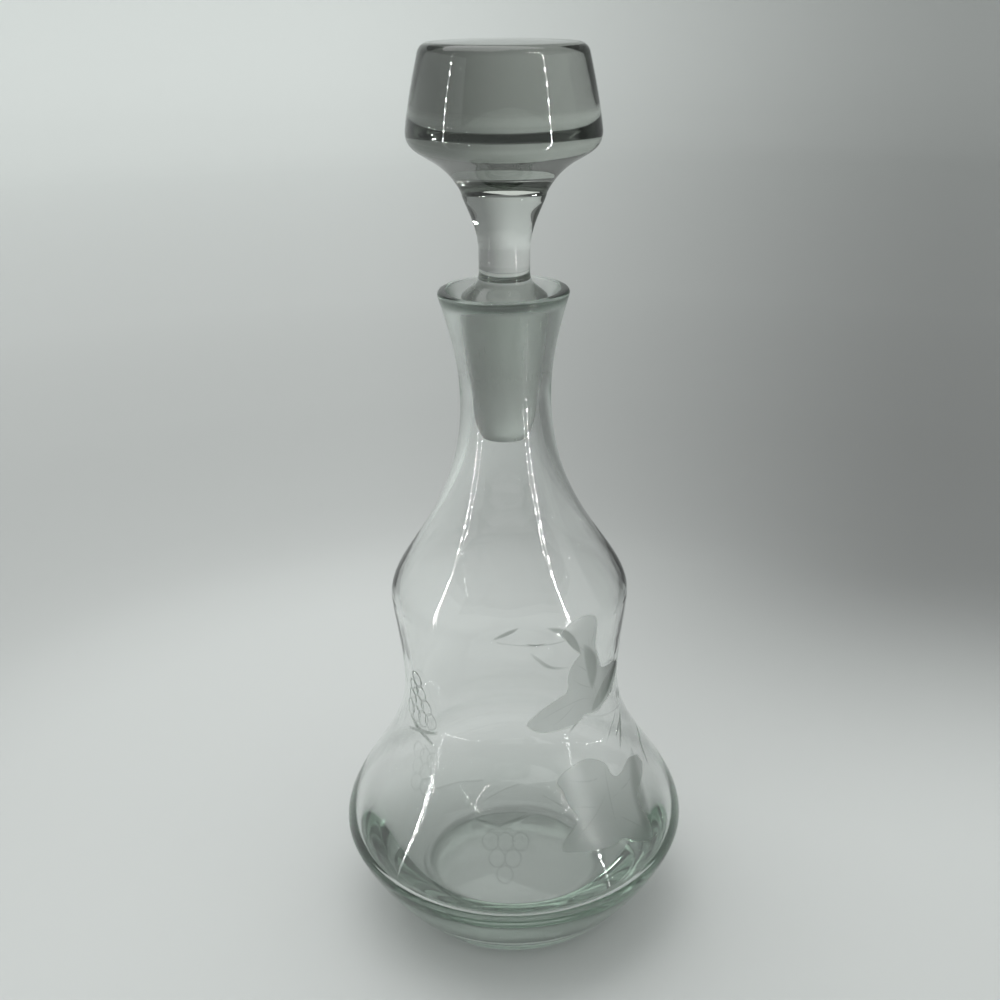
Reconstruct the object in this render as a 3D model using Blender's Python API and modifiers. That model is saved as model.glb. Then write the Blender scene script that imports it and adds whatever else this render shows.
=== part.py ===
"""Glass decanter with a ground glass stopper.

Both pieces are turned: each is one profile carried round the axis. Metres, +Z up, with the origin under the
middle of the foot, on the surface that the decanter stands on.
"""

from collections import namedtuple
from math import cos, pi, radians, sin, tan

import bpy
from mathutils import Vector
from mathutils.geometry import interpolate_bezier

# Outside of the vessel, from the foot up: each rise is the height gained since the station below
foot_radius = 0.0366
foot_rounding = 0.0015
foot_lean = radians(52)
ring_width = 0.0090
kick_height = 0.0022
belly_radius = 0.0608
belly_rise = 0.0359
waist_radius = 0.0372
waist_rise = 0.0565
shoulder_radius = 0.0400
shoulder_rise = 0.0332
neck_rise = 0.0676
rim_lean = radians(16)
lip_width = 0.0035
lip_rounding = 0.0011

# Glass between the outside and the hollow
floor_thickness = 0.0108
floor_radius = 0.0300
floor_lean = radians(60)
corner_rise = 0.0266
belly_wall = 0.0025
waist_wall = 0.0024
shoulder_wall = 0.0022
neck_wall = 0.0040

# Ground seat in the neck, and the flare above it
seat_radius = 0.0135
seat_depth = 0.0300
seat_lean = radians(5.6)
mouth_radius = 0.0170
mouth_rise = 0.0050
mouth_lean = radians(50)

# Stopper: the plug takes its size from the seat, and the rest stands on the plug
fit_clearance = 0.0003
plug_proud = 0.0023
plug_shoulder_rounding = 0.0015
plug_shoulder_lean = radians(46)
plug_tip_rise = 0.0124
plug_tip_radius = 0.0077
plug_tip_lean = radians(26)
plug_tip_rounding = 0.0012
stem_foot_rise = 0.0085
stem_radius = 0.0079
stem_length = 0.0055
throat_radius = 0.0130
throat_rise = 0.0182
throat_lean = radians(12)
bowl_lean = radians(28)
head_radius = 0.0290
bowl_rise = 0.0172
cap_radius = 0.0249
cap_rise = 0.0246
cap_rounding = 0.0036
cap_lean = radians(-14)
cap_crown = 0.0005

# How far a curve keeps a station's direction, as shares of the rise to the next station
foot_run_share = 0.35
belly_run_shares = (0.14, 0.21)
waist_run_shares = (0.45, 0.45)
shoulder_run_shares = (0.19, 0.19)
neck_run_shares = (0.57, 0.38)
rim_run_share = 0.33
floor_run_share = 0.75
inner_belly_run_shares = (0.39, 0.21)
inner_neck_run_share = 0.50
seat_top_run_share = 0.45
mouth_run_share = 0.40
tip_run_shares = (0.30, 0.40)
stem_foot_run_share = 0.60
stem_run_share = 0.47
throat_run_shares = (0.23, 0.79)
head_run_shares = (0.44, 0.07)
cap_run_share = 0.50

# Fineness of the turned surfaces, and the distance under which two points are one
turn_steps = 48
curve_points = 9
short_curve_points = 5
arc_points = 4
weld_distance = 0.00001

clear_glass = (0.86, 0.90, 0.88, 1.0)
clear_glass_roughness = 0.02
glass_index = 1.50

# A place on a profile: the lean of its outline from upright, and how far the curves on each side keep that lean
Station = namedtuple("Station", "radius height lean below above")


def heading(lean):
    """The unit direction of an outline that climbs while leaning outwards."""
    return Vector((sin(lean), cos(lean)))


def climb(lower, upper, points):
    """A smooth curve from one station up to the next, with both ends."""
    rise = upper.height - lower.height
    start = Vector((lower.radius, lower.height))
    end = Vector((upper.radius, upper.height))
    leaving = start + heading(lower.lean) * lower.above * rise
    arriving = end - heading(upper.lean) * upper.below * rise
    return [point.copy() for point in interpolate_bezier(start, leaving, arriving, end, points)]


def climb_all(stations, points):
    """The curves through a run of stations, joined end to end."""
    outline = []
    for lower, upper in zip(stations, stations[1:]):
        outline += climb(lower, upper, points)[1 if outline else 0:]
    return outline


def arc(centre, radius, start_angle, end_angle, points):
    """A circular arc with both ends; an angle of zero points away from the axis."""
    step = (end_angle - start_angle) / (points - 1)
    angles = [start_angle + step * i for i in range(points)]
    return [centre + Vector((cos(a), sin(a))) * radius for a in angles]


def dome(radius, base_height, crown, points):
    """A shallow spherical cap, from the axis out to its edge."""
    sphere = (radius ** 2 + crown ** 2) / (2 * crown)
    radii = [radius * i / (points - 1) for i in range(points)]
    return [Vector((r, base_height + crown - sphere + (sphere ** 2 - r ** 2) ** 0.5)) for r in radii]


def join(*runs):
    """One outline from several runs, without the points where one run starts on the end of another."""
    outline = []
    for run in runs:
        for point in run:
            if not outline or (point - outline[-1]).length > weld_distance:
                outline.append(point)
    return outline


# Heights that both pieces share
belly_height = belly_rise
waist_height = belly_height + waist_rise
shoulder_height = waist_height + shoulder_rise
seat_bottom_height = shoulder_height + neck_rise
seat_top_height = seat_bottom_height + seat_depth
rim_height = seat_top_height + mouth_rise


def seat_radius_at(height):
    """The radius of the ground cone at a height."""
    return seat_radius + (height - seat_top_height) * tan(seat_lean)


def vessel_outside():
    """The outer wall from the foot up to the top of the lip."""
    neck_radius = seat_radius_at(seat_bottom_height) + neck_wall
    rim_radius = mouth_radius + lip_width
    foot_centre = Vector((foot_radius, foot_rounding))
    foot_edge = arc(foot_centre, foot_rounding, -pi / 2, -foot_lean, arc_points)
    lip_centre = Vector((rim_radius - lip_rounding, rim_height - lip_rounding))
    lip_edge = arc(lip_centre, lip_rounding, -rim_lean, pi / 2, arc_points)
    stations = [
        Station(*foot_edge[-1], foot_lean, 0, foot_run_share),
        Station(belly_radius, belly_height, 0, *belly_run_shares),
        Station(waist_radius, waist_height, 0, *waist_run_shares),
        Station(shoulder_radius, shoulder_height, 0, *shoulder_run_shares),
        Station(neck_radius, seat_bottom_height, 0, *neck_run_shares),
        Station(*lip_edge[0], rim_lean, rim_run_share, 0),
    ]
    return join(foot_edge, climb_all(stations, curve_points), lip_edge)


def vessel_inside():
    """The hollow from the middle of the floor up to the top of the lip."""
    lip_centre = Vector((mouth_radius + lip_rounding, rim_height - lip_rounding))
    lip_edge = arc(lip_centre, lip_rounding, pi - mouth_lean, pi / 2, arc_points)
    seat_bottom_radius = seat_radius_at(seat_bottom_height)
    stations = [
        Station(floor_radius, floor_thickness, floor_lean, 0, floor_run_share),
        Station(belly_radius - belly_wall, floor_thickness + corner_rise, 0, *inner_belly_run_shares),
        Station(waist_radius - waist_wall, waist_height, 0, *waist_run_shares),
        Station(shoulder_radius - shoulder_wall, shoulder_height, 0, *shoulder_run_shares),
        Station(seat_bottom_radius, seat_bottom_height, 0, inner_neck_run_share, 0),
    ]
    mouth_stations = [
        Station(seat_radius, seat_top_height, seat_lean, 0, seat_top_run_share),
        Station(*lip_edge[0], mouth_lean, mouth_run_share, 0),
    ]
    floor_middle = [Vector((0, floor_thickness))]
    hollow = climb_all(stations, curve_points)
    mouth = climb_all(mouth_stations, short_curve_points)
    return join(floor_middle, hollow, mouth, lip_edge)


def vessel_underside():
    """The hollow under the base and the flat ring that it stands on, out to the foot."""
    ring_inner_radius = foot_radius - ring_width
    kick = dome(ring_inner_radius, 0, kick_height, short_curve_points)
    return join(kick, [Vector((foot_radius, 0))])


def stopper_outline():
    """The stopper from the tip of its plug up to the middle of its cap."""
    shoulder_height_on_plug = seat_top_height + plug_proud
    plug_top_radius = seat_radius_at(shoulder_height_on_plug) - fit_clearance
    plug_bottom_radius = seat_radius_at(seat_bottom_height) - fit_clearance
    tip_height = seat_bottom_height - plug_tip_rise
    tip_centre = Vector((plug_tip_radius - plug_tip_rounding, tip_height + plug_tip_rounding))
    tip_edge = arc(tip_centre, plug_tip_rounding, -pi / 2, -plug_tip_lean, arc_points)
    tip_stations = [
        Station(*tip_edge[-1], plug_tip_lean, 0, tip_run_shares[0]),
        Station(plug_bottom_radius, seat_bottom_height, seat_lean, tip_run_shares[1], 0),
    ]
    plug_side_normal = Vector((cos(seat_lean), -sin(seat_lean)))
    shoulder_centre = Vector((plug_top_radius, shoulder_height_on_plug)) - plug_side_normal * plug_shoulder_rounding
    shoulder_edge = arc(shoulder_centre, plug_shoulder_rounding, -seat_lean, plug_shoulder_lean, arc_points)
    stem_bottom_height = shoulder_height_on_plug + stem_foot_rise
    stem_top_height = stem_bottom_height + stem_length
    throat_height = stem_top_height + throat_rise
    head_height = throat_height + bowl_rise
    cap_height = head_height + cap_rise
    foot_stations = [
        Station(*shoulder_edge[-1], -plug_shoulder_lean, 0, stem_foot_run_share),
        Station(stem_radius, stem_bottom_height, 0, stem_foot_run_share, 0),
    ]
    # The outline bends at the throat, where the drawn stem meets the bowl of the head
    stem_stations = [
        Station(stem_radius, stem_top_height, 0, 0, stem_run_share),
        Station(throat_radius, throat_height, throat_lean, throat_run_shares[0], 0),
    ]
    cap_centre = Vector((cap_radius - cap_rounding, cap_height - cap_rounding))
    cap_edge = arc(cap_centre, cap_rounding, -cap_lean, pi / 2, arc_points)
    head_stations = [
        Station(throat_radius, throat_height, bowl_lean, 0, throat_run_shares[1]),
        Station(head_radius, head_height, 0, *head_run_shares),
        Station(*cap_edge[0], cap_lean, cap_run_share, 0),
    ]
    cap = dome(cap_centre.x, cap_height, cap_crown, short_curve_points)
    return join(
        [Vector((0, tip_height))],
        tip_edge,
        climb_all(tip_stations, short_curve_points),
        shoulder_edge,
        climb_all(foot_stations, short_curve_points),
        climb_all(stem_stations, curve_points),
        climb_all(head_stations, curve_points),
        cap_edge,
        reversed(cap),
    )


def glass_material(name):
    """Clear, faintly grey-green glass."""
    material = bpy.data.materials.new(name)
    material.use_nodes = True
    shader = material.node_tree.nodes["Principled BSDF"]
    shader.inputs["Base Color"].default_value = clear_glass
    shader.inputs["Roughness"].default_value = clear_glass_roughness
    shader.inputs["Metallic"].default_value = 0
    shader.inputs["IOR"].default_value = glass_index
    shader.inputs["Transmission Weight"].default_value = 1
    material.diffuse_color = clear_glass
    return material


def turn(name, outline, collection):
    """Carry an outline, given down its outer side, once round the axis."""
    mesh = bpy.data.meshes.new(name)
    edges = [(i, i + 1) for i in range(len(outline) - 1)]
    mesh.from_pydata([(point.x, 0, point.y) for point in outline], edges, [])
    piece = bpy.data.objects.new(name, mesh)
    collection.objects.link(piece)
    screw = piece.modifiers.new("Turn", "SCREW")
    screw.axis = "Z"
    screw.angle = 2 * pi
    screw.steps = turn_steps
    screw.render_steps = turn_steps
    screw.use_merge_vertices = True
    screw.merge_threshold = weld_distance
    screw.use_smooth_shade = True
    piece.data.materials.append(glass_material(name + "_glass"))
    return piece


def main():
    for old in list(bpy.data.objects):
        bpy.data.objects.remove(old, do_unlink=True)
    collection = bpy.data.collections.new("glass_decanter")
    bpy.context.scene.collection.children.link(collection)
    # From the middle of the floor up the hollow, over the lip, down the outside and in under the base
    vessel = join(vessel_inside(), reversed(vessel_outside()), reversed(vessel_underside()))
    turn("decanter_body", vessel, collection)
    turn("stopper", list(reversed(stopper_outline())), collection)


main()
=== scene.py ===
import math

import bmesh
import bpy
import numpy as np
from mathutils import Matrix, Vector
from mathutils.geometry import interpolate_bezier


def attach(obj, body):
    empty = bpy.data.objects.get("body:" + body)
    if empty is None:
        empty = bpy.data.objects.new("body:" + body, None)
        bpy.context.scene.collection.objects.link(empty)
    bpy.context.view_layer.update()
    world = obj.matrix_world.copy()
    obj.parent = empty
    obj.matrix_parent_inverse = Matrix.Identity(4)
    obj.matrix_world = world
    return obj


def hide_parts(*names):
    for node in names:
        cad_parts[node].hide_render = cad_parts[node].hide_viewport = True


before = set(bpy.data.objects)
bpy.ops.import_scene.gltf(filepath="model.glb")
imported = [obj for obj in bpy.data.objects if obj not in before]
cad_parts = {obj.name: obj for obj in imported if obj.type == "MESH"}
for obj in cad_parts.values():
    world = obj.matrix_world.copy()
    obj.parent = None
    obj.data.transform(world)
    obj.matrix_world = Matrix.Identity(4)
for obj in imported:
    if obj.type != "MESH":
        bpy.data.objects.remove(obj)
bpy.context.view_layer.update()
print("frame loaded")


def heading(leanDegrees):
    # direction of an outline that climbs while leaning outwards
    lean = math.radians(leanDegrees)
    return Vector((math.sin(lean), math.cos(lean)))


def climb(stations, pointsEach):
    # smooth outline through stations of (radius, height, lean, share kept below, share kept above)
    outline = []
    for lower, upper in zip(stations, stations[1:]):
        start, end = Vector(lower[:2]), Vector(upper[:2])
        rise = end.y - start.y
        leaving = start + heading(lower[2]) * lower[4] * rise
        arriving = end - heading(upper[2]) * upper[3] * rise
        points = interpolate_bezier(start, leaving, arriving, end, pointsEach)
        outline += [p.copy() for p in points[1 if outline else 0:]]
    return outline


def arc(centre, radius, startDegrees, endDegrees, points=7):
    turn = [math.radians(startDegrees + (endDegrees - startDegrees) * i / (points - 1)) for i in range(points)]
    return [Vector(centre) + Vector((math.cos(a), math.sin(a))) * radius for a in turn]


def dome(radius, base, crown, points=9):
    # shallow cap from the axis out to its edge
    sphere = (radius ** 2 + crown ** 2) / (2 * crown)
    radii = [radius * i / (points - 1) for i in range(points)]
    return [Vector((r, base + crown - sphere + math.sqrt(sphere ** 2 - r ** 2))) for r in radii]


def turnOutline(outline, steps, weld=0.00002):
    # carries an outline round the axis with spin, closes the poles and points the faces outwards
    bm = bmesh.new()
    verts = [bm.verts.new((p.x, 0, p.y)) for p in outline]
    edges = [bm.edges.new(pair) for pair in zip(verts, verts[1:])]
    bmesh.ops.spin(
        bm, geom=verts + edges, cent=(0, 0, 0), axis=(0, 0, 1), angle=math.tau, steps=steps, use_merge=True,
    )
    bmesh.ops.remove_doubles(bm, verts=bm.verts, dist=weld)
    bmesh.ops.dissolve_degenerate(bm, edges=bm.edges, dist=weld / 2)
    bmesh.ops.recalc_face_normals(bm, faces=bm.faces)
    return bm


def finishPiece(name, bm, material):
    # smooth shaded object in the scene, made from a bmesh
    mesh = bpy.data.meshes.new(name)
    for face in bm.faces:
        face.smooth = True
    bm.to_mesh(mesh)
    bm.free()
    piece = bpy.data.objects.new(name, mesh)
    bpy.context.scene.collection.objects.link(piece)
    mesh.materials.append(material)
    return piece


def startMaterial(name, values):
    # node material with plain values on the shader's own sockets
    material = bpy.data.materials.new(name)
    material.use_nodes = True
    shader = material.node_tree.nodes["Principled BSDF"]
    for socket, value in values.items():
        shader.inputs[socket].default_value = value
    return material, material.node_tree, shader


def addNode(tree, kind, **values):
    # each value goes to the socket of that name, or else to the node's own setting
    node = tree.nodes.new(kind)
    for key, value in values.items():
        if key in node.inputs:
            node.inputs[key].default_value = value
        else:
            setattr(node, key, value)
    return node


def feed(tree, socket, value):
    # links a socket to another one, or sets it to a plain value
    if isinstance(value, bpy.types.NodeSocket):
        tree.links.new(value, socket)
    else:
        socket.default_value = value


def mathNode(tree, operation, *values):
    node = addNode(tree, "ShaderNodeMath", operation=operation)
    for socket, value in zip(node.inputs, values):
        feed(tree, socket, value)
    return node.outputs[0]


# places of a Mix node's share and its two inputs, then of its result
mixPlaces = {"FLOAT": (0, 2, 3, 0), "RGBA": (0, 6, 7, 2)}


def mixNode(tree, kind, *values):
    # values are the share of the second one, then the two that are mixed
    *places, result = mixPlaces[kind]
    node = addNode(tree, "ShaderNodeMix", data_type=kind)
    for place, value in zip(places, values):
        feed(tree, node.inputs[place], value)
    return node.outputs[result]


def easeNode(tree, value, start, end, before=0, after=1):
    # smooth step from one value below start to another above end
    limits = {"From Min": start, "From Max": end, "To Min": before, "To Max": after}
    node = addNode(tree, "ShaderNodeMapRange", interpolation_type="SMOOTHSTEP", **limits)
    tree.links.new(value, node.inputs["Value"])
    return node.outputs["Result"]


def oneAxis(tree, vector, axis):
    node = addNode(tree, "ShaderNodeSeparateXYZ")
    tree.links.new(vector, node.inputs[0])
    return node.outputs[axis]


cameraView = {
    "place": (0.0, -0.36635, 0.31558),
    "tiltDown": 23.35,
    "turnLeft": 0.39,
    "roll": -1.3,
    "lens": 43.44,
    "sensor": 36,
    "clipStart": 0.01,
}


def placeCamera():
    view = cameraView
    data = bpy.data.cameras.new("photoCamera")
    data.sensor_width = view["sensor"]
    data.lens = view["lens"]
    data.clip_start = view["clipStart"]
    camera = bpy.data.objects.new("photoCamera", data)
    bpy.context.scene.collection.objects.link(camera)
    tilt = Matrix.Rotation(math.radians(90 - view["tiltDown"]), 4, "X")
    turn = Matrix.Rotation(math.radians(view["turnLeft"]), 4, "Z")
    roll = Matrix.Rotation(math.radians(view["roll"]), 4, "Z")
    camera.matrix_world = Matrix.Translation(view["place"]) @ turn @ tilt @ roll
    bpy.context.scene.camera = camera


placeCamera()
print("camera placed")

stageLook = {
    "sink": 0.0003,
    "flatRadius": 2.0,
    "floorRings": 6,
    "bendRadius": 0.7,
    "bendPoints": 17,
    "wallTop": 1.5,
    "steps": 64,
    "surface": {"Roughness": 0.85, "Specular IOR Level": 0.2},
    "hue": (0.975, 1.0, 0.988),
    # painted shade: the paper's tone by distance from the decanter, as shares of the depth
    "depth": 2.6,
    "paintedShadeTones": [
        (0, 0.585), (0.06, 0.58), (0.09, 0.565), (0.11, 0.51), (0.125, 0.455), (0.145, 0.425),
        (0.18, 0.41), (0.23, 0.41), (0.36, 0.47), (0.62, 0.62), (0.88, 0.80), (1, 0.87),
    ],
    # painted shade from left to right, by the slope of the line of sight from the eye
    "eye": 0.37,
    "nearest": 0.2,
    "sides": {"start": -0.16, "end": 0.40, "before": 1.04, "after": 0.47},
    "paintedSideShadeFrom": {"start": 0.0, "end": 0.26},
    # painted light under the base: lighter paper and a faint glow
    "paintedLightPool": {"start": 0.029, "end": 0.038, "before": 0.39, "after": 0},
    "glow": 0.2,
}


def stageMaterial():
    look = stageLook
    material, tree, shader = startMaterial("paleStudioPaperWithPaintedShadeAndLight", look["surface"])
    link = tree.links.new
    place = addNode(tree, "ShaderNodeTexCoord").outputs["Object"]
    length = addNode(tree, "ShaderNodeVectorMath", operation="LENGTH")
    link(place, length.inputs[0])
    distance = length.outputs["Value"]
    # painted shade: lighter near by and high on the wall, with a dark band half a metre away
    ramp = addNode(tree, "ShaderNodeValToRGB")
    ramp.color_ramp.interpolation = "B_SPLINE"
    stops = ramp.color_ramp.elements
    while len(stops) < len(look["paintedShadeTones"]):
        stops.new(1)
    for stop, (position, tone) in zip(stops, look["paintedShadeTones"]):
        stop.position = position
        stop.color = (tone, tone, tone, 1)
    link(mathNode(tree, "DIVIDE", distance, look["depth"]), ramp.inputs[0])
    # painted shade: behind the decanter the paper is painted darker to the right, as the light falls off there
    ahead = mathNode(tree, "ADD", oneAxis(tree, place, "Y"), look["eye"])
    slope = mathNode(tree, "DIVIDE", oneAxis(tree, place, "X"), mathNode(tree, "MAXIMUM", ahead, look["nearest"]))
    sides = easeNode(tree, slope, **look["sides"])
    further = easeNode(tree, oneAxis(tree, place, "Y"), **look["paintedSideShadeFrom"])
    paintedSideShade = mixNode(tree, "FLOAT", further, 1, sides)
    # painted light: the paper under the thick base is painted lighter and made to glow faintly, standing in for the
    # light the base gathers
    paintedLightPool = easeNode(tree, distance, **look["paintedLightPool"])
    paper = addNode(tree, "ShaderNodeVectorMath", operation="SCALE")
    paper.inputs[0].default_value = look["hue"]
    paperWithPaintedShade = mathNode(tree, "MULTIPLY", ramp.outputs[0], paintedSideShade)
    link(mathNode(tree, "ADD", paperWithPaintedShade, paintedLightPool), paper.inputs["Scale"])
    link(paper.outputs["Vector"], shader.inputs["Base Color"])
    link(mathNode(tree, "MULTIPLY", paintedLightPool, look["glow"]), shader.inputs["Emission Strength"])
    return material


def buildStage():
    look = stageLook
    flat, bend, sink, rings = look["flatRadius"], look["bendRadius"], look["sink"], look["floorRings"]
    floor = [Vector((flat * i / rings, -sink)) for i in range(rings)]
    curve = arc((flat, bend - sink), bend, -90, 0, look["bendPoints"])
    wall = [Vector((flat + bend, look["wallTop"]))]
    bm = turnOutline(floor + curve + wall, look["steps"])
    # the faces of an open sheet can come out looking down
    if min(bm.faces, key=lambda face: face.calc_center_median().length).normal.z < 0:
        bmesh.ops.reverse_faces(bm, faces=bm.faces)
    stage = finishPiece("studioFloor", bm, stageMaterial())


lampLook = {"place": (-0.25, 0.35, 1.6), "aim": (0, 0.1, 0), "size": (1.5, 1.5), "power": 12}


def hangLamp():
    place, aim = Vector(lampLook["place"]), Vector(lampLook["aim"])
    data = bpy.data.lights.new("overhead", "AREA")
    data.shape = "RECTANGLE"
    data.size, data.size_y = lampLook["size"]
    data.energy = lampLook["power"]
    lamp = bpy.data.objects.new("overhead", data)
    turn = (aim - place).to_track_quat("-Z", "Y").to_matrix().to_4x4()
    lamp.matrix_world = Matrix.Translation(place) @ turn
    bpy.context.scene.collection.objects.link(lamp)
    lamp.visible_camera = False


# LED strips stand at both sides of the light tent's opening and turn a little inwards at the top
stripLook = {
    "pitch": 0.0167,
    "dotShare": 0.42,
    "dot": 160,
    "gap": 7,
    "dimLow": {"start": 0.08, "end": 0.12, "before": 0.09, "after": 1},
    "hue": (0.98, 1, 0.99, 1),
    "facing": (0, 0, 0.15),
}
stripPlaces = {
    "left": {"from": (-0.37, -0.13, 0.0), "to": (-0.37, -0.13, 0.59), "width": 0.0056},
    "right": {"from": (0.21, -0.16, 0.0), "to": (0.21, -0.16, 0.53), "width": 0.0045},
    "topLeft": {"from": (-0.37, -0.13, 0.59), "to": (-0.27, -0.13, 0.605), "width": 0.005},
    "topRight": {"from": (0.21, -0.16, 0.53), "to": (0.13, -0.16, 0.55), "width": 0.005},
}


def stripMaterial():
    # small bright dots on a faintly glowing band, dimmer low down, seen by glass only
    look = stripLook
    material = bpy.data.materials.new("ledStrip")
    material.use_nodes = True
    tree = material.node_tree
    tree.nodes.remove(tree.nodes["Principled BSDF"])
    along = oneAxis(tree, addNode(tree, "ShaderNodeUVMap").outputs["UV"], "X")
    centred = mathNode(tree, "SUBTRACT", mathNode(tree, "FRACT", along), 0.5)
    inDot = mathNode(tree, "LESS_THAN", mathNode(tree, "ABSOLUTE", centred), look["dotShare"] / 2)
    strength = mixNode(tree, "FLOAT", inDot, look["gap"], look["dot"])
    height = oneAxis(tree, addNode(tree, "ShaderNodeTexCoord").outputs["Object"], "Z")
    dimmed = mathNode(tree, "MULTIPLY", strength, easeNode(tree, height, **look["dimLow"]))
    path = addNode(tree, "ShaderNodeLightPath")
    unscattered = mathNode(tree, "LESS_THAN", path.outputs["Diffuse Depth"], 0.5)
    glow = addNode(tree, "ShaderNodeEmission", Color=look["hue"])
    tree.links.new(mathNode(tree, "MULTIPLY", dimmed, unscattered), glow.inputs["Strength"])
    tree.links.new(glow.outputs[0], tree.nodes["Material Output"].inputs["Surface"])
    return material


def hangStrips():
    material = stripMaterial()
    for name, strip in stripPlaces.items():
        start, end = Vector(strip["from"]), Vector(strip["to"])
        run = end - start
        toDecanter = Vector(stripLook["facing"]) - start.lerp(end, 0.5)
        across = run.cross(toDecanter).normalized() * strip["width"] / 2
        bm = bmesh.new()
        edge = bm.edges.new([bm.verts.new(start - across), bm.verts.new(end - across)])
        bmesh.ops.extrude_edge_only(bm, edges=[edge])
        bm.verts.ensure_lookup_table()
        bmesh.ops.translate(bm, verts=bm.verts[2:], vec=across * 2)
        lengthLayer = bm.loops.layers.uv.new("length")
        for face in bm.faces:
            for loop in face.loops:
                loop[lengthLayer].uv = ((loop.vert.co - start).dot(run) / run.length / stripLook["pitch"], 0)
        piece = finishPiece("ledStrip." + name, bm, material)
        piece.visible_camera = piece.visible_shadow = piece.visible_diffuse = False


# a dark card above the camera, which only glass sees, as the dark room over the tent's opening
cardLook = {
    "corners": [(-0.6, -0.5, 0.42), (0.6, -0.5, 0.42), (0.6, -0.5, 1.4), (-0.6, -0.5, 1.4)],
    "surface": {"Base Color": (0.05, 0.055, 0.05, 1), "Roughness": 0.9},
}


def hangCard():
    material = startMaterial("darkCard", cardLook["surface"])[0]
    bm = bmesh.new()
    bmesh.ops.contextual_create(bm, geom=[bm.verts.new(corner) for corner in cardLook["corners"]])
    piece = finishPiece("darkCard", bm, material)
    piece.visible_camera = piece.visible_shadow = piece.visible_diffuse = False


# glass that looks straight at the room sees it dim, and dimmer above than behind
roomLight = {
    "hue": (0.97, 1, 0.985, 1),
    "onThings": 0.85,
    "seen": {"start": 0.25, "end": 0.45, "before": 0.035, "after": 0.22},
}


def lightRoom():
    world = bpy.data.worlds.new("softRoom")
    bpy.context.scene.world = world
    world.use_nodes = True
    tree = world.node_tree
    background = tree.nodes["Background"]
    background.inputs["Color"].default_value = roomLight["hue"]
    backwards = oneAxis(tree, addNode(tree, "ShaderNodeTexCoord").outputs["Generated"], "Y")
    seen = easeNode(tree, backwards, **roomLight["seen"])
    path = addNode(tree, "ShaderNodeLightPath")
    scattered = mathNode(tree, "GREATER_THAN", path.outputs["Diffuse Depth"], 0.5)
    strength = mixNode(tree, "FLOAT", scattered, seen, roomLight["onThings"])
    tree.links.new(strength, background.inputs["Strength"])


# light needs many turns to leave solid glass
lightLimits = {"max_bounces": 32, "glossy_bounces": 16, "transmission_bounces": 32, "sample_clamp_indirect": 60}


def lightStudio():
    lightRoom()
    hangLamp()
    hangStrips()
    hangCard()
    for setting, value in lightLimits.items():
        setattr(bpy.context.scene.cycles, setting, value)


buildStage()
lightStudio()
print("stage and lamps ready")

glassLook = {
    "bodyGlass": {"tint": (0.73, 0.79, 0.75, 1), "density": 50, "ior": 1.5},
    "stopperGlass": {"tint": (0.764, 0.778, 0.760, 1), "density": 70, "ior": 1.5},
}
surfaceLook = {
    # waves, and cords drawn out along the height, above the smooth moulded base
    "waveSpread": 70,
    "cordSpread": 170,
    "cordSquash": 0.07,
    "rippleDepth": 0.00005,
    "aboveBase": {"start": 0.03, "end": 0.07},
    # places ground with a stone
    "grainSpread": 2600,
    "grainDepth": 0.00001,
    "brushSpread": 900,
    "brushSquash": 0.06,
    "brushDepth": 0.000016,
    "groundRoughness": 0.36,
    "leastMottle": 0.55,
    "groundTone": (0.84, 0.855, 0.84, 1),
    # cuts, with a dark tone painted in as shade
    "cutRoughness": 0.16,
    "paintedCutTone": (0.36, 0.385, 0.36, 1),
}


def startGroup(name, inputs, outputs):
    group = bpy.data.node_groups.new(name, "ShaderNodeTree")
    for socketName, kind in inputs:
        group.interface.new_socket(socketName, in_out="INPUT", socket_type=kind)
    for socketName, kind in outputs:
        group.interface.new_socket(socketName, in_out="OUTPUT", socket_type=kind)
    return group, group.nodes.new("NodeGroupInput"), group.nodes.new("NodeGroupOutput")


def noiseOn(tree, vector, spread, stretch=(1, 1, 1), detail=2):
    mapping = addNode(tree, "ShaderNodeMapping", Scale=stretch)
    noise = addNode(tree, "ShaderNodeTexNoise", Scale=spread, Detail=detail)
    tree.links.new(vector, mapping.inputs["Vector"])
    tree.links.new(mapping.outputs["Vector"], noise.inputs["Vector"])
    return noise.outputs[0]


def rippleGroup():
    # the slight unevenness of blown glass, as a height in metres
    look = surfaceLook
    group, _, result = startGroup("glassRipple", [], [("Height", "NodeSocketFloat")])
    place = addNode(group, "ShaderNodeTexCoord").outputs["Object"]
    cords = noiseOn(group, place, look["cordSpread"], (1, 1, look["cordSquash"]), detail=1)
    waves = noiseOn(group, place, look["waveSpread"])
    above = easeNode(group, oneAxis(group, place, "Z"), **look["aboveBase"])
    both = mathNode(group, "MULTIPLY", mathNode(group, "ADD", cords, waves), above)
    group.links.new(mathNode(group, "MULTIPLY", both, look["rippleDepth"]), result.inputs["Height"])
    return group


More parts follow.
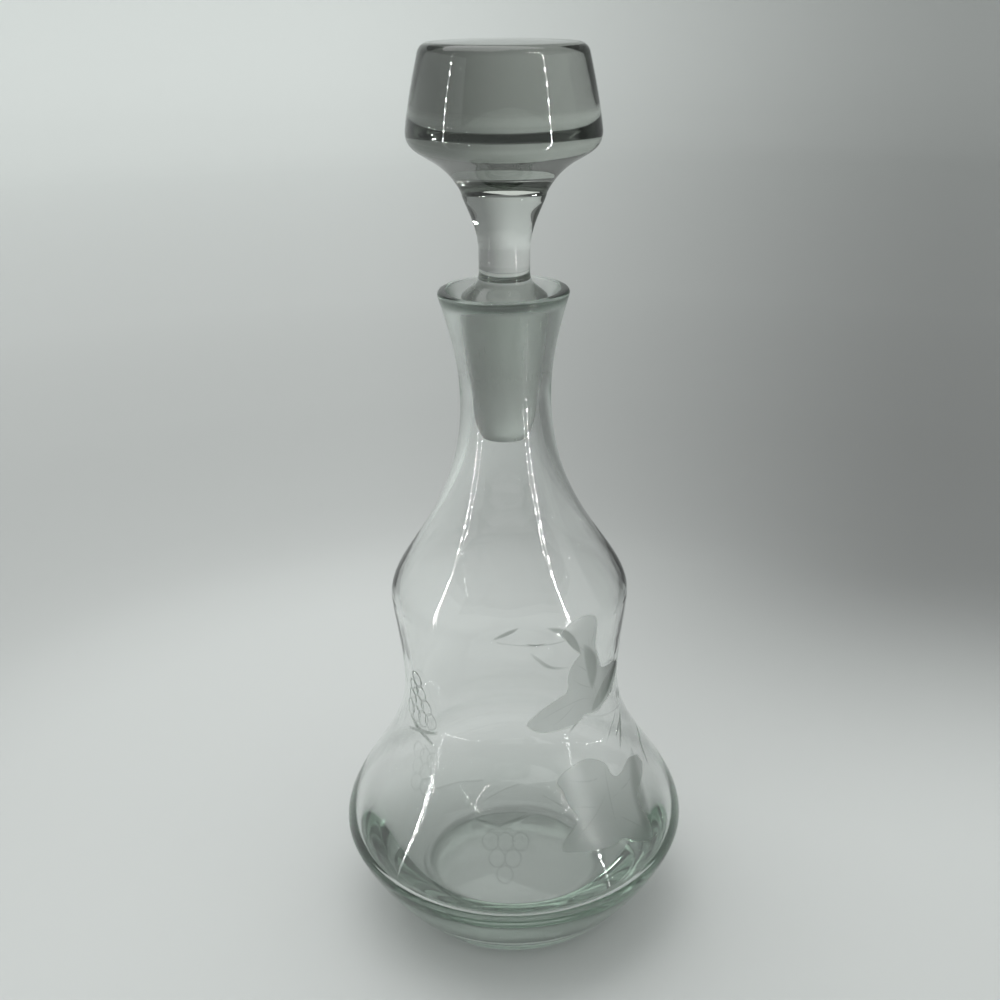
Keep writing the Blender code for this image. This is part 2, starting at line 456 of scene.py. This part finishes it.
def groundGroup():
    # ground and cut places: brush marks and grain as a height in metres, a mottled roughness, and a tone with
    # painted shade in the cuts
    look = surfaceLook
    group, given, result = startGroup(
        "groundGlass",
        [("Ground", "NodeSocketFloat"), ("Cut", "NodeSocketFloat")],
        [("Roughness", "NodeSocketFloat"), ("Height", "NodeSocketFloat"), ("Tone", "NodeSocketColor")],
    )
    share, cut = given.outputs["Ground"], given.outputs["Cut"]
    place = addNode(group, "ShaderNodeTexCoord").outputs["Object"]
    grain = noiseOn(group, place, look["grainSpread"])
    brush = noiseOn(group, place, look["brushSpread"], (1, 1, look["brushSquash"]), detail=3)
    fine = mathNode(group, "MULTIPLY", grain, look["grainDepth"])
    marks = mathNode(group, "MULTIPLY", brush, look["brushDepth"])
    mottle = mathNode(group, "ADD", brush, look["leastMottle"])
    groundRough = mathNode(group, "MULTIPLY", mathNode(group, "MULTIPLY", mottle, look["groundRoughness"]), share)
    cutRough = mathNode(group, "MULTIPLY", cut, look["cutRoughness"])
    groundTone = mixNode(group, "RGBA", share, (1, 1, 1, 1), look["groundTone"])
    results = {
        "Roughness": mathNode(group, "MAXIMUM", groundRough, cutRough),
        "Height": mathNode(group, "MULTIPLY", mathNode(group, "ADD", fine, marks), share),
        "Tone": mixNode(group, "RGBA", cut, groundTone, look["paintedCutTone"]),
    }
    for name, socket in results.items():
        group.links.new(socket, result.inputs[name])
    return group


ripples, ground = rippleGroup(), groundGroup()


def glassMaterial(name):
    look = glassLook[name]
    values = {"Metallic": 0, "IOR": look["ior"], "Transmission Weight": 1}
    material, tree, shader = startMaterial(name, values)
    link = tree.links.new
    surface = addNode(tree, "ShaderNodeGroup", node_tree=ground)
    wavy = addNode(tree, "ShaderNodeGroup", node_tree=ripples)
    for layer, socket in (("frost", "Ground"), ("cut", "Cut")):
        painted = addNode(tree, "ShaderNodeAttribute", attribute_name=layer)
        link(painted.outputs["Fac"], surface.inputs[socket])
    link(surface.outputs["Roughness"], shader.inputs["Roughness"])
    # the tone carries the painted shade of the cuts into the base colour
    link(surface.outputs["Tone"], shader.inputs["Base Color"])
    bump = addNode(tree, "ShaderNodeBump", Strength=1, Distance=1)
    link(mathNode(tree, "ADD", surface.outputs["Height"], wavy.outputs["Height"]), bump.inputs["Height"])
    link(bump.outputs["Normal"], shader.inputs["Normal"])
    depth = addNode(tree, "ShaderNodeVolumeAbsorption", Color=look["tint"], Density=look["density"])
    link(depth.outputs["Volume"], tree.nodes["Material Output"].inputs["Volume"])
    return material


# stations are (radius, height, lean, share below, share above), and an end adds the last three to a point
bodyShape = {
    "steps": 128,
    "footEdge": {"centre": (0.0366, 0.0015), "radius": 0.0015, "startDegrees": -90, "endDegrees": -52},
    "footEnd": (52, 0, 0.35),
    "outside": [
        (0.0608, 0.0359, 0, 0.14, 0.21),
        (0.0372, 0.0924, 0, 0.45, 0.45),
        (0.0400, 0.1256, 0, 0.19, 0.19),
        (0.01456, 0.1932, 0, 0.57, 0.38),
    ],
    "lipEnd": (16, 0.33, 0),
    "lipOutside": {"centre": (0.0194, 0.2271), "radius": 0.0011, "startDegrees": -16, "endDegrees": 90},
    "floorRings": 8,
    "hollow": [
        (0.0315, 0.0108, 20, 0, 0.45),
        (0.0587, 0.0374, 0, 0.39, 0.21),
        (0.0348, 0.0924, 0, 0.45, 0.45),
        (0.0378, 0.1256, 0, 0.19, 0.19),
        (0.01056, 0.1932, 0, 0.50, 0),
    ],
    "wallPoints": 25,
    "seat": [(0.01056, 0.1932, 5.6, 0, 0.33), (0.0135, 0.2232, 5.6, 0.33, 0.45)],
    "seatEnd": (50, 0.40, 0),
    "seatPoints": 12,
    "lipInside": {"centre": (0.0181, 0.2271), "radius": 0.0011, "startDegrees": 130, "endDegrees": 90},
    "kick": {"radius": 0.0330, "base": 0, "crown": 0.0022},
    "ringWidth": 0.0036,
    "ringPoints": 4,
    "tablePoints": 160,
}


def bodyOutside(pointsEach):
    shape = bodyShape
    foot, rim = arc(**shape["footEdge"])[-1], arc(**shape["lipOutside"])[0]
    return climb([(*foot, *shape["footEnd"]), *shape["outside"], (*rim, *shape["lipEnd"])], pointsEach)


def bodyOutline():
    # up the inside from the middle of the floor, over the rim, down the outside, and in under the base
    shape = bodyShape
    edgeRadius, floorHeight = shape["hollow"][0][:2]
    rings = shape["floorRings"]
    floor = [Vector((edgeRadius * i / rings, floorHeight)) for i in range(rings)]
    hollow = climb(shape["hollow"], shape["wallPoints"])
    lipInside = arc(**shape["lipInside"])
    seat = climb([*shape["seat"], (*lipInside[0], *shape["seatEnd"])], shape["seatPoints"])
    up = floor + hollow + seat[1:] + lipInside[1:]
    outside = bodyOutside(shape["wallPoints"])
    down = [*arc(**shape["footEdge"]), *outside[1:], *arc(**shape["lipOutside"])[1:]]
    kick = dome(**shape["kick"])
    kickRadius, width, points = shape["kick"]["radius"], shape["ringWidth"], shape["ringPoints"]
    ring = [Vector((kickRadius + width * i / points, 0)) for i in range(1, points)]
    return up + down[::-1][1:] + (kick + ring)[::-1]


# a grape and vine spray: places are (degrees round from the front, millimetres up), sizes in millimetres
vineSpray = {
    "lenses": [
        {"run": [(-67.4, 85.1), (-54.5, 82.9), (-41, 80.6)], "width": 1.7, "depth": 0.36},
        {"run": [(-66, 80.2), (-53.8, 82.8), (-40.5, 85.6)], "width": 1.7, "depth": 0.36},
        {"run": [(-8, 127.2), (-1, 129.3), (4.4, 130.9)], "width": 1.1, "depth": 0.30},
        {"run": [(6.5, 125.6), (11.5, 124.6), (16.4, 124.9)], "width": 0.7, "depth": 0.22},
        {"run": [(17, 129.8), (26, 126.4), (34.8, 117.4)], "width": 3.0, "depth": 0.26},
        {"run": [(8.5, 122.4), (15.4, 117.0), (20.7, 114.7), (28.6, 113.5)], "width": 1.6, "depth": 0.13},
        {"run": [(78, 82), (70.5, 77.6), (61.2, 71.8)], "width": 1.1, "depth": 0.30},
        {"run": [(75.6, 80.2), (68, 78.2), (60.9, 76.3)], "width": 1.4, "depth": 0.20},
        {"run": [(69, 83.4), (60, 80.6), (52.6, 77.2)], "width": 1.0, "depth": 0.12},
        {"run": [(101.4, 65.2), (89, 64.6), (83.3, 63.8), (76.9, 58.8)], "width": 1.3, "depth": 0.28},
        {"run": [(85.5, 86.6), (82, 85.6), (78.6, 84.2)], "width": 2.2, "depth": 0.26},
        {"run": [(37.5, 90.4), (33, 89.2), (29.8, 87.4)], "width": 0.9, "depth": 0.14},
        {"run": [(72, 102.8), (58.6, 97.4), (46, 91.6)], "width": 7.6, "depth": 0.48},
        {"run": [(36, 120.5), (43.4, 110.5), (45.6, 100)], "width": 5.6, "depth": 0.20},
        {"run": [(71, 68.5), (63, 61), (58, 54), (53, 45.5)], "width": 9.0, "depth": 0.13},
    ],
    "threads": [
        [(-6, 126.3), (3, 125.3), (11.5, 124.6), (20, 124.3), (27.5, 124.6)],
        [(40.2, 91.4), (50.4, 88.2), (64.7, 84.8), (78, 82.6)],
        [(-35.5, 68.7), (-24.9, 72.7), (-14, 74.6)],
        [(-11.6, 69.2), (-4, 72.4), (2.6, 73.9)],
        [(13, 69.9), (22.6, 64.8)],
        [(-49, 79.3), (-44, 77.7), (-39.5, 74.2)],
    ],
    "threadWidth": 0.42,
    "threadDepth": 0.07,
    "leaves": [
        {
            "edge": [
                (28.3, 129.5), (35.8, 130.4), (40.4, 129.8), (43.5, 128.4), (43.6, 123.7), (44.1, 117.7),
                (47.3, 112.9),
                (50.4, 108.0), (54.4, 106.2), (65.8, 104.4), (74.4, 100.5), (73.0, 96.5), (65.0, 92.6), (56.8, 91.3),
                (51.3, 90.2), (44.2, 91.2), (40.2, 91.8), (37.9, 90.5), (32.9, 89.8), (25.2, 89.8), (17.5, 89.9),
                (11.9, 91.0), (7.5, 93.9), (12.0, 97.2), (17.5, 99.9), (24.4, 102.2), (28.6, 103.8), (28.7, 109.5),
                (29.5, 112.7), (32.2, 115.5), (34.4, 117.3), (30.3, 120.2), (26.5, 123.9), (24.0, 127.2),
            ],
            "veins": [
                [(52, 92), (47, 101), (42, 112), (37, 127)],
                [(50, 95), (38, 98.5), (24, 97.5), (11, 94)],
                [(47.5, 100), (39, 103.5), (31, 108)],
                [(44.5, 106), (37, 111), (32, 114)],
                [(41, 114), (34, 120), (27, 126)],
                [(40, 118), (42, 123), (42, 127)],
                [(36, 98.8), (28, 94.5), (20, 91.5)],
            ],
        },
        {
            "edge": [
                (54.6, 66.2), (64.1, 67.4), (72.5, 65.0), (73.0, 61.5), (64.6, 59.0), (58.9, 57.7), (56.9, 54.8),
                (57.2, 50.8), (56.5, 46.6), (54.2, 45.1), (49.9, 46.2), (46.2, 48.2), (41.9, 50.7), (37.6, 50.2),
                (29.4, 51.2), (23.9, 52.3), (17.6, 53.8), (19.5, 56.5), (23.8, 58.9), (26.1, 60.9), (25.4, 63.2),
                (23.6, 65.5), (22.3, 69.8), (20.4, 72.9), (25.8, 75.6), (37.4, 76.7), (47.4, 72.6), (49.8, 67.6),
            ],
            "veins": [
                [(49, 76), (45, 66), (42.5, 58), (41.5, 52.5)],
                [(46, 69), (35, 70), (24, 73)],
                [(45, 65.5), (34, 60), (21, 55)],
                [(44, 62), (56, 62.5), (69, 63.5)],
                [(42.8, 58), (49, 53), (54.5, 47.5)],
                [(37, 61.6), (30, 63.5), (26.5, 64)],
            ],
        },
    ],
    "outlineWidth": 0.55,
    "outlineDepth": 0.04,
    "veinWidth": 0.42,
    "veinDepth": 0.06,
    "leafDepth": 0.05,
    "bunches": [
        {
            "grapes": [
                (-56.7, 101.9), (-61, 97.4), (-54.1, 97.1), (-63.6, 92.6), (-56.8, 92.3), (-50.2, 92.6),
                (-66, 88), (-59.6, 87.5), (-52.8, 87.7), (-46.6, 88.4),
            ],
            "grape": 2.75,
            "depth": 0.15,
        },
        {
            "grapes": [
                (-52.4, 76.4), (-47, 76), (-41.6, 75.8), (-50, 71.9), (-44.4, 71.6), (-47.6, 67.4), (-41.6, 67.6),
            ],
            "grape": 2.6,
            "depth": 0.05,
        },
        {
            "grapes": [(-8.9, 57.6), (-3.3, 57.6), (2.3, 57.6), (-6.2, 53.3), (-0.6, 53.3), (-3.4, 49)],
            "grape": 2.7,
            "depth": 0.045,
        },
    ],
    "grapeLine": 0.5,
}
# low at the front a smaller cross is cut more lightly
lowCross = {
    **vineSpray,
    "lenses": [
        {"run": [(-16.5, 63), (-7.9, 61.8), (0.4, 60.5)], "width": 1.6, "depth": 0.05},
        {"run": [(-13.1, 59.3), (-2.4, 62.5), (9.4, 65.3)], "width": 1.6, "depth": 0.05},
    ],
    "threads": [],
    "leaves": [],
    "bunches": [],
}
cutting = {
    "sprays": [vineSpray, lowCross],
    # in metres: the heights of the wall that is split, how near to the outline, and a step for its slope
    "lowest": 0.034,
    "highest": 0.136,
    "wallNear": 0.0008,
    "slopeStep": 0.0002,
    # in millimetres: how close to a cut each split goes, and the samples along a cut
    "bands": (1.6, 0.85, 0.4),
    "boxMargin": 1,
    "farOff": 9.0,
    "sampleGap": 0.12,
    "samplesEach": 80,
    # a lens cut tapers as a power of a sine, from just inside its ends
    "lensRun": (0.02, 0.98),
    "lensPower": 0.8,
    # depth in millimetres at which a cut's painted shade is full, and how much painted shade a leaf gets
    "fullPaintedShadeDepth": 0.14,
    "leafPaintedShade": 0.26,
}

outsideTable = np.array([(p.y, p.x) for p in bodyOutside(bodyShape["tablePoints"])])


def wallRadius(height):
    # outside radius of the body at a height, in metres
    return np.interp(height, *outsideTable.T)


def onBody(degrees, height):
    # point in millimetres on the outside of the body
    radius = 1000 * wallRadius(height / 1000)
    turn = math.radians(degrees)
    return np.array((radius * math.sin(turn), -radius * math.cos(turn), height))


def smoothRun(places, closed=False, each=6):
    # curve through the places, with handles a sixth as long as the way between the neighbours
    run = [Vector((*place, 0)) for place in places]
    count = len(run)
    spans = count if closed else count - 1
    curve = [run[0]]
    for i in range(spans):
        a, b = run[i], run[(i + 1) % count]
        before = run[i - 1] if closed or i else a
        after = run[(i + 2) % count] if closed or i < spans - 1 else b
        curve += interpolate_bezier(a, a + (b - before) / 6, b - (after - a) / 6, b, each + 1)[1:]
    return [(p.x, p.y) for p in curve]


def makeCut(places, width, depth, lens=False):
    # sampled line with its half width and depth at each sample, both falling off to the ends of a lens
    corners = np.array([onBody(*place) for place in places])
    steps = np.linalg.norm(np.diff(corners, axis=0), axis=1)
    along = np.concatenate([[0], np.cumsum(steps)])
    count = max(3, int(along[-1] / cutting["sampleGap"]))
    at = np.linspace(0, along[-1], count)
    line = np.stack([np.interp(at, along, corners[:, k]) for k in range(3)], axis=1)
    share = np.ones(count)
    if lens:
        share = np.sin(math.pi * np.linspace(*cutting["lensRun"], count)) ** cutting["lensPower"]
    # in lengths that share their end samples, so that a box round each stays small
    each = cutting["samplesEach"]
    return [
        {"line": line[i:i + each], "half": width / 2 * share[i:i + each], "depth": depth * share[i:i + each]}
        for i in range(0, count, each - 1)
    ]


grapeShape = {"points": 25, "pinch": 0.10, "tall": 1.06, "slopeStep": 0.5}


def ringPlaces(centre, radius):
    # a grape drawn on the curved wall, with slightly pointed ends where it meets its neighbours
    shape = grapeShape
    degrees, height = centre
    middle = onBody(degrees, height)
    slope = onBody(degrees, height + shape["slopeStep"]) - onBody(degrees, height - shape["slopeStep"])
    climbRate = abs(slope[2]) / np.linalg.norm(slope)
    reach = math.degrees(radius / math.hypot(middle[0], middle[1]))
    places = []
    for turn in np.linspace(0, math.tau, shape["points"]):
        across = reach * math.cos(turn) * (1 - shape["pinch"] * math.sin(turn) ** 2)
        places.append((degrees + across, height + radius * climbRate * math.sin(turn) * shape["tall"]))
    return places


def sprayCuts(spray):
    cuts = []
    for lens in spray["lenses"]:
        cuts += makeCut(smoothRun(lens["run"]), lens["width"], lens["depth"], lens=True)
    for thread in spray["threads"]:
        cuts += makeCut(smoothRun(thread), spray["threadWidth"], spray["threadDepth"])
    for leaf in spray["leaves"]:
        cuts += makeCut(smoothRun(leaf["edge"], closed=True), spray["outlineWidth"], spray["outlineDepth"])
        for vein in leaf["veins"]:
            cuts += makeCut(smoothRun(vein), spray["veinWidth"], spray["veinDepth"], lens=True)
    for bunch in spray["bunches"]:
        for centre in bunch["grapes"]:
            cuts += makeCut(ringPlaces(centre, bunch["grape"]), spray["grapeLine"], bunch["depth"])
    return cuts


def measureCuts(points, cuts):
    # for each point: gap to the nearest cut's edge, and how deep the cuts go there
    gap = np.full(len(points), cutting["farOff"])
    depth = np.zeros(len(points))
    widest = cutting["bands"][0]
    for cut in cuts:
        low, high = cut["line"].min(axis=0), cut["line"].max(axis=0)
        reach = widest + cut["half"].max() + cutting["boxMargin"]
        near = np.all((points > low - reach) & (points < high + reach), axis=1)
        if not near.any():
            continue
        away = np.linalg.norm(points[near][:, None] - cut["line"][None], axis=2)
        gap[near] = np.minimum(gap[near], (away - cut["half"]).min(axis=1))
        bowl = cut["depth"] * np.clip(1 - (away / cut["half"]) ** 2, 0, None)
        depth[near] = np.maximum(depth[near], bowl.max(axis=1))
    return gap, depth


def insideLeaf(degrees, heights, outline):
    # even and odd crossings of the outline tell the leaf from the clear wall
    inside = np.zeros(len(degrees), bool)
    for (x0, y0), (x1, y1) in zip(outline, outline[1:] + outline[:1]):
        if y0 == y1:
            continue
        crosses = (heights > y0) != (heights > y1)
        inside ^= crosses & (degrees < (x1 - x0) * (heights - y0) / (y1 - y0) + x0)
    return inside


def outsideVerts(bm):
    # vertices on the outside of the engraved part of the wall
    found = []
    for vert in bm.verts:
        if cutting["lowest"] < vert.co.z < cutting["highest"]:
            if math.hypot(vert.co.x, vert.co.y) > wallRadius(vert.co.z) - cutting["wallNear"]:
                found.append(vert)
    return found


def splitAlongCuts(bm, cuts):
    # each band lies closer to the cuts and splits the wall once more
    for band in cutting["bands"]:
        verts = outsideVerts(bm)
        gap, _ = measureCuts(np.array([vert.co for vert in verts]) * 1000, cuts)
        near = {vert for vert, room in zip(verts, gap) if room < band}
        edges = list({edge for vert in near for edge in vert.link_edges})
        bmesh.ops.subdivide_edges(bm, edges=edges, cuts=1, use_grid_fill=True)


def sinkCuts(bm, cuts, frost, paintedCutShadeLayer):
    # lays the split wall back on the smooth outline, sinks cuts and leaves square to it, and paints them frosted and
    # with painted shade
    verts = outsideVerts(bm)
    points = np.array([vert.co for vert in verts]) * 1000
    heights = points[:, 2]
    degrees = np.degrees(np.arctan2(points[:, 0], -points[:, 1]))
    radii = 1000 * wallRadius(heights / 1000)
    step = cutting["slopeStep"]
    slopes = (wallRadius(heights / 1000 + step) - wallRadius(heights / 1000 - step)) / (2 * step)
    points[:, 0], points[:, 1] = radii * np.sin(np.radians(degrees)), -radii * np.cos(np.radians(degrees))
    _, depth = measureCuts(points, cuts)
    leafShare = np.zeros(len(points))
    for leaf in vineSpray["leaves"]:
        outline = smoothRun(leaf["edge"], closed=True)
        leafShare = np.maximum(leafShare, insideLeaf(degrees, heights, outline))
    sunk = depth + leafShare * vineSpray["leafDepth"]
    leanBack = np.sqrt(1 + slopes ** 2)
    inward = radii - sunk / leanBack
    lifted = heights + sunk * slopes / leanBack
    for i, vert in enumerate(verts):
        turn = math.radians(degrees[i])
        vert.co = Vector((inward[i] * math.sin(turn), -inward[i] * math.cos(turn), lifted[i])) / 1000
        vert[frost] = float(leafShare[i])
        # painted shade: cuts are darker the deeper they go, and leaves are darker too
        vert[paintedCutShadeLayer] = float(min(depth[i] / cutting["fullPaintedShadeDepth"] + leafShare[i] * cutting["leafPaintedShade"], 1))


# the seat for the plug is ground a little less than the leaves, and more in the flare above it
seatLook = {
    "share": 0.86,
    "from": 0.1926,
    "fade": 0.012,
    "within": 0.0178,
    "offOutside": 0.002,
    "flareFrom": 0.2232,
    "flareRise": 0.0047,
    "flareShare": 0.25,
}


def grindSeat(bm, frost):
    look = seatLook
    for vert in bm.verts:
        radius, height = math.hypot(vert.co.x, vert.co.y), vert.co.z
        if height > look["from"] and radius < min(look["within"], wallRadius(height) - look["offOutside"]):
            rise = min((height - look["from"]) / look["fade"], 1)
            flare = max(0, (height - look["flareFrom"]) / look["flareRise"])
            vert[frost] = look["share"] * rise + flare * look["flareShare"]


def buildBody():
    bm = turnOutline(bodyOutline(), bodyShape["steps"])
    frost = bm.verts.layers.float.new("frost")
    paintedCutShadeLayer = bm.verts.layers.float.new("cut")
    cuts = [cut for spray in cutting["sprays"] for cut in sprayCuts(spray)]
    splitAlongCuts(bm, cuts)
    sinkCuts(bm, cuts, frost, paintedCutShadeLayer)
    grindSeat(bm, frost)
    return finishPiece("decanterBody", bm, glassMaterial("bodyGlass"))


body = buildBody()
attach(body, "decanter")
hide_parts("decanter_body")
print("body turned and cut", len(body.data.polygons))

stopperShape = {
    "steps": 128,
    "taper": 5.6,
    "bottom": (0.0065, 0.1808),
    "bottomRings": 4,
    "tipEdge": {"centre": (0.0065, 0.182), "radius": 0.0012, "startDegrees": -90, "endDegrees": -26},
    "tip": [(26, 0, 0.30), (0.01026, 0.1932, 5.6, 0.40, 0)],
    "plugRings": 12,
    "shoulder": {"top": (0.01343, 0.2255), "radius": 0.0015, "endDegrees": 46},
    "foot": [(-46, 0, 0.60), (0.0079, 0.2340, 0, 0.60, 0)],
    "stem": [(0.0079, 0.2395, 0, 0, 0.47), (0.0130, 0.2577, 12, 0.23, 0)],
    "head": [(0.0130, 0.2577, 28, 0, 0.79), (0.0290, 0.2749, 0, 0.44, 0.07)],
    "headEnd": (-14, 0.50, 0),
    "capEdge": {"centre": (0.0213, 0.2959), "radius": 0.0036, "startDegrees": 14, "endDegrees": 90, "points": 11},
    "cap": {"radius": 0.0213, "base": 0.2995, "crown": 0.0005},
    # points of each curve
    "tipPoints": 9,
    "shoulderPoints": 9,
    "footPoints": 13,
    "headPoints": 25,
    # it leans, as in the photograph
    "tilt": 0.9,
    "tiltPivot": (0, 0, 0.207),
    "drop": -0.0001,
    "groundTo": 0.2252,
}


def stopperOutline():
    # up the outside from the middle of the bottom to the middle of the cap
    shape = stopperShape
    tipEdge, capEdge = arc(**shape["tipEdge"]), arc(**shape["capEdge"])
    (edgeRadius, bottomHeight), rings = shape["bottom"], shape["bottomRings"]
    bottom = [Vector((edgeRadius * i / rings, bottomHeight)) for i in range(rings)]
    tipStart, tipTop = shape["tip"]
    tip = climb([(*tipEdge[-1], *tipStart), tipTop], shape["tipPoints"])
    corner, taper = shape["shoulder"], math.radians(shape["taper"])
    outwards = Vector((math.cos(taper), -math.sin(taper)))
    centre = Vector(corner["top"]) - outwards * corner["radius"]
    shoulder = arc(centre, corner["radius"], -shape["taper"], corner["endDegrees"], shape["shoulderPoints"])
    side = [tip[-1].lerp(shoulder[0], i / shape["plugRings"]) for i in range(1, shape["plugRings"])]
    footStart, footTop = shape["foot"]
    foot = climb([(*shoulder[-1], *footStart), footTop], shape["footPoints"])
    stem = climb(shape["stem"], shape["headPoints"])
    head = climb([*shape["head"], (*capEdge[0], *shape["headEnd"])], shape["headPoints"])
    cap = dome(**shape["cap"])
    return bottom + tipEdge + tip[1:] + side + shoulder + foot[1:] + stem + head[1:] + capEdge[1:] + cap[::-1][1:]


def buildStopper():
    shape = stopperShape
    bm = turnOutline(stopperOutline(), shape["steps"])
    frost = bm.verts.layers.float.new("frost")
    for vert in bm.verts:
        vert[frost] = seatLook["share"] if vert.co.z < shape["groundTo"] else 0
    lean = Matrix.Rotation(math.radians(shape["tilt"]), 3, "Y")
    bmesh.ops.rotate(bm, verts=bm.verts, cent=shape["tiltPivot"], matrix=lean)
    bmesh.ops.translate(bm, verts=bm.verts, vec=(0, 0, shape["drop"]))
    return finishPiece("groundStopper", bm, glassMaterial("stopperGlass"))


stopper = buildStopper()
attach(stopper, "stopper")
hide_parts("stopper")
print("stopper turned", len(stopper.data.polygons))

bpy.context.scene.view_settings.view_transform = "Standard"
